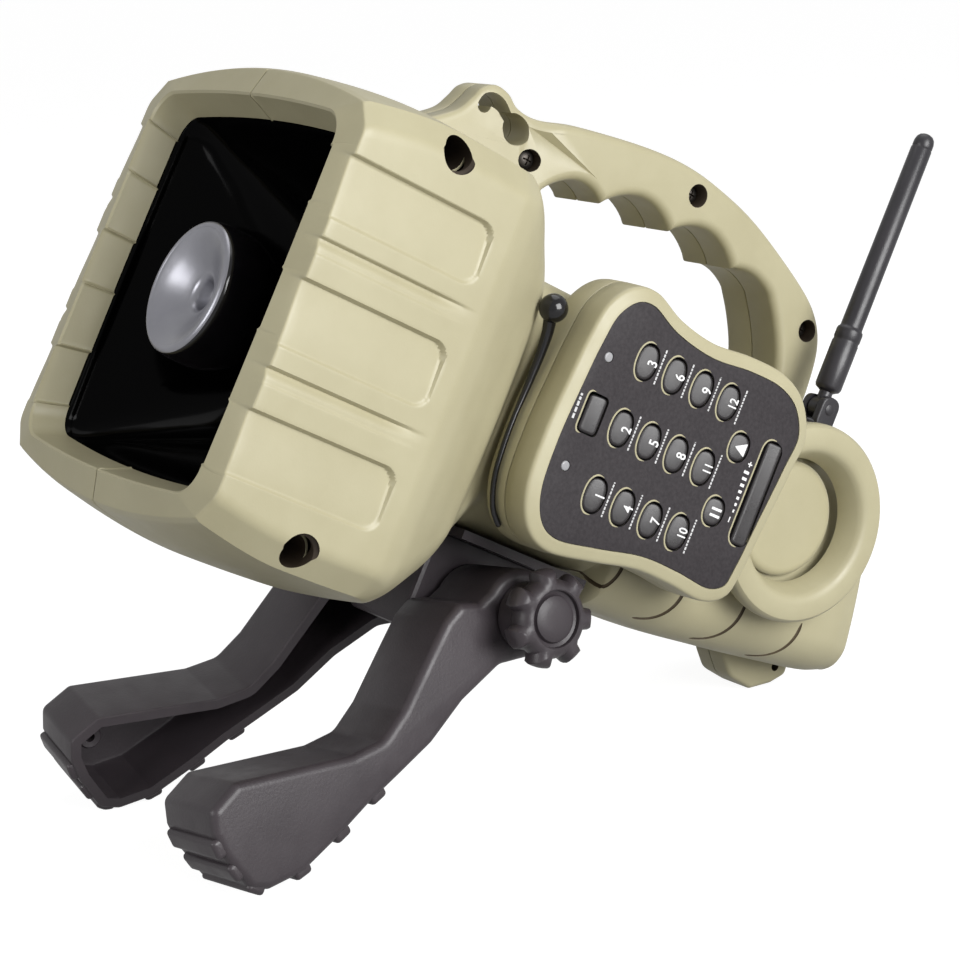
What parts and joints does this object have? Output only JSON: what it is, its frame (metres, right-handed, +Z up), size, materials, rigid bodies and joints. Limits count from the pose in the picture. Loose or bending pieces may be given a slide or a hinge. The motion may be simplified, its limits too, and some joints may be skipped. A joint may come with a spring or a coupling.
{
  "type": "electronic game caller",
  "caption": "Portable horn loudspeaker with a moulded carrying handle, two folding splayed legs, a tilting antenna and a docked keypad remote control.",
  "frame": {"origin": "on the floor under the middle of the object's bounding box", "axes": "+Z up from the floor, +Y from the horn's mouth to the rear end, +X to the side that carries the remote"},
  "size_m": [0.1286, 0.2968, 0.2168],
  "materials": {
    "khaki_plastic": "satin moulded",
    "black_brown_plastic": "satin moulded",
    "zinc_plated_steel": "plated",
    "black_horn_plastic": "high gloss",
    "black_rubber": "matte",
    "ferrite_magnet": "matte",
    "circuit_board_green": "satin",
    "black_holder_plastic": "matte",
    "battery_sleeve": "printed sleeve",
    "red_wire": "satin",
    "antenna_black": "satin",
    "gloss_black_rubber": "gloss",
    "charcoal_label": "textured film",
    "led_lens": "frosted",
    "key_rubber": "semi-gloss"
  },
  "bodies": {
    "body": {"housing_right": "khaki_plastic", "housing_left": "khaki_plastic", "handle_right": "khaki_plastic", "handle_left": "khaki_plastic", "horn_bell": "black_horn_plastic", "reflex_cone": "black_horn_plastic", "horn_gasket": "black_rubber", "horn_driver": "zinc_plated_steel", "driver_magnet": "ferrite_magnet", "amp_board": "circuit_board_green", "receiver_board": "circuit_board_green", "battery_holder": "black_holder_plastic", "battery_1": "battery_sleeve", "battery_2": "battery_sleeve", "battery_3": "battery_sleeve", "battery_4": "battery_sleeve", "leg_bracket": "black_brown_plastic", "pivot_bolt_right": "zinc_plated_steel", "pivot_bolt_left": "zinc_plated_steel", "remote_post": "khaki_plastic", "housing_screw_1": "zinc_plated_steel", "housing_screw_2": "zinc_plated_steel", "handle_screw_1": "zinc_plated_steel", "handle_screw_2": "zinc_plated_steel", "handle_screw_3": "zinc_plated_steel", "speaker_lead": "red_wire"},
    "battery_door": {"battery_door": "khaki_plastic"},
    "leg_right": {"leg_right": "black_brown_plastic"},
    "leg_left": {"leg_left": "black_brown_plastic"},
    "knob_right": {"leg_knob_right": "black_brown_plastic"},
    "knob_left": {"leg_knob_left": "black_brown_plastic"},
    "antenna_swivel": {"antenna_base": "antenna_black"},
    "antenna": {"antenna_whip": "antenna_black"},
    "remote": {"remote_front": "khaki_plastic", "remote_back": "khaki_plastic", "remote_label": "charcoal_label", "led_1": "led_lens", "led_2": "led_lens", "remote_board": "circuit_board_green", "remote_battery": "battery_sleeve", "remote_antenna": "gloss_black_rubber"},
    "remote_door": {"remote_battery_door": "khaki_plastic"},
    "key_1": {"key_1": "key_rubber"},
    "key_2": {"key_2": "key_rubber"},
    "key_3": {"key_3": "key_rubber"},
    "key_4": {"key_4": "key_rubber"},
    "key_5": {"key_5": "key_rubber"},
    "key_6": {"key_6": "key_rubber"},
    "key_7": {"key_7": "key_rubber"},
    "key_8": {"key_8": "key_rubber"},
    "key_9": {"key_9": "key_rubber"},
    "key_10": {"key_10": "key_rubber"},
    "key_11": {"key_11": "key_rubber"},
    "key_12": {"key_12": "key_rubber"},
    "play_key": {"play_key": "key_rubber"},
    "pause_key": {"pause_key": "key_rubber"},
    "power_key": {"power_key": "key_rubber"},
    "volume_rocker": {"volume_rocker": "key_rubber"}
  },
  "joints": [
    {"name": "leg_right_fold", "type": "hinge", "parent": "body", "child": "leg_right", "pos_m": [0.00881, -0.02846, 0.05265], "axis": [0.9877, 0.0774, 0.136], "range_deg": [-5, 110]},
    {"name": "leg_left_fold", "type": "hinge", "parent": "body", "child": "leg_left", "pos_m": [-0.00881, -0.02846, 0.05265], "axis": [0.9877, -0.0774, -0.136], "range_deg": [-5, 110]},
    {"name": "knob_right_turn", "type": "hinge", "parent": "body", "child": "knob_right", "pos_m": [0.00881, -0.02846, 0.05265], "axis": [0.9877, 0.0774, 0.136], "continuous": true},
    {"name": "knob_left_turn", "type": "hinge", "parent": "body", "child": "knob_left", "pos_m": [-0.00881, -0.02846, 0.05265], "axis": [-0.9877, 0.0774, 0.136], "continuous": true},
    {"name": "antenna_turn", "type": "hinge", "parent": "body", "child": "antenna_swivel", "pos_m": [0.03, 0.0966, 0.09149], "axis": [0, 0.4945, 0.8692], "range_deg": [-90, 0]},
    {"name": "antenna_tilt", "type": "hinge", "parent": "antenna_swivel", "child": "antenna", "pos_m": [0.03, 0.09957, 0.0967], "axis": [-1, 0, 0], "range_deg": [0, 90]},
    {"name": "battery_door_hinge", "type": "hinge", "parent": "body", "child": "battery_door", "pos_m": [-0.0364, 0.00871, 0.06844], "axis": [0, -0.8692, 0.4945], "range_deg": [0, 90]},
    {"name": "remote_lift", "type": "slide", "parent": "body", "child": "remote", "axis": [1, 0, 0], "range_m": [0, 0.06]},
    {"name": "remote_door_slide", "type": "slide", "parent": "remote", "child": "remote_door", "axis": [0, -0.4945, -0.8692], "range_m": [0, 0.015]},
    {"name": "key_1_press", "type": "slide", "parent": "remote", "child": "key_1", "axis": [-1, 0, 0], "range_m": [0, 0.0012], "stiffness_N_per_m": 800},
    {"name": "key_2_press", "type": "slide", "parent": "remote", "child": "key_2", "axis": [-1, 0, 0], "range_m": [0, 0.0012], "stiffness_N_per_m": 800},
    {"name": "key_3_press", "type": "slide", "parent": "remote", "child": "key_3", "axis": [-1, 0, 0], "range_m": [0, 0.0012], "stiffness_N_per_m": 800},
    {"name": "key_4_press", "type": "slide", "parent": "remote", "child": "key_4", "axis": [-1, 0, 0], "range_m": [0, 0.0012], "stiffness_N_per_m": 800},
    {"name": "key_5_press", "type": "slide", "parent": "remote", "child": "key_5", "axis": [-1, 0, 0], "range_m": [0, 0.0012], "stiffness_N_per_m": 800},
    {"name": "key_6_press", "type": "slide", "parent": "remote", "child": "key_6", "axis": [-1, 0, 0], "range_m": [0, 0.0012], "stiffness_N_per_m": 800},
    {"name": "key_7_press", "type": "slide", "parent": "remote", "child": "key_7", "axis": [-1, 0, 0], "range_m": [0, 0.0012], "stiffness_N_per_m": 800},
    {"name": "key_8_press", "type": "slide", "parent": "remote", "child": "key_8", "axis": [-1, 0, 0], "range_m": [0, 0.0012], "stiffness_N_per_m": 800},
    {"name": "key_9_press", "type": "slide", "parent": "remote", "child": "key_9", "axis": [-1, 0, 0], "range_m": [0, 0.0012], "stiffness_N_per_m": 800},
    {"name": "key_10_press", "type": "slide", "parent": "remote", "child": "key_10", "axis": [-1, 0, 0], "range_m": [0, 0.0012], "stiffness_N_per_m": 800},
    {"name": "key_11_press", "type": "slide", "parent": "remote", "child": "key_11", "axis": [-1, 0, 0], "range_m": [0, 0.0012], "stiffness_N_per_m": 800},
    {"name": "key_12_press", "type": "slide", "parent": "remote", "child": "key_12", "axis": [-1, 0, 0], "range_m": [0, 0.0012], "stiffness_N_per_m": 800},
    {"name": "play_key_press", "type": "slide", "parent": "remote", "child": "play_key", "axis": [-1, 0, 0], "range_m": [0, 0.0012], "stiffness_N_per_m": 800},
    {"name": "pause_key_press", "type": "slide", "parent": "remote", "child": "pause_key", "axis": [-1, 0, 0], "range_m": [0, 0.0012], "stiffness_N_per_m": 800},
    {"name": "power_key_press", "type": "slide", "parent": "remote", "child": "power_key", "axis": [-1, 0, 0], "range_m": [0, 0.0012], "stiffness_N_per_m": 800},
    {"name": "volume_rock", "type": "hinge", "parent": "remote", "child": "volume_rocker", "pos_m": [0.057, 0.04733, 0.08294], "axis": [0, 0.8692, -0.4945], "range_deg": [-3, 3], "stiffness_Nm_per_rad": 0.25}
  ]
}
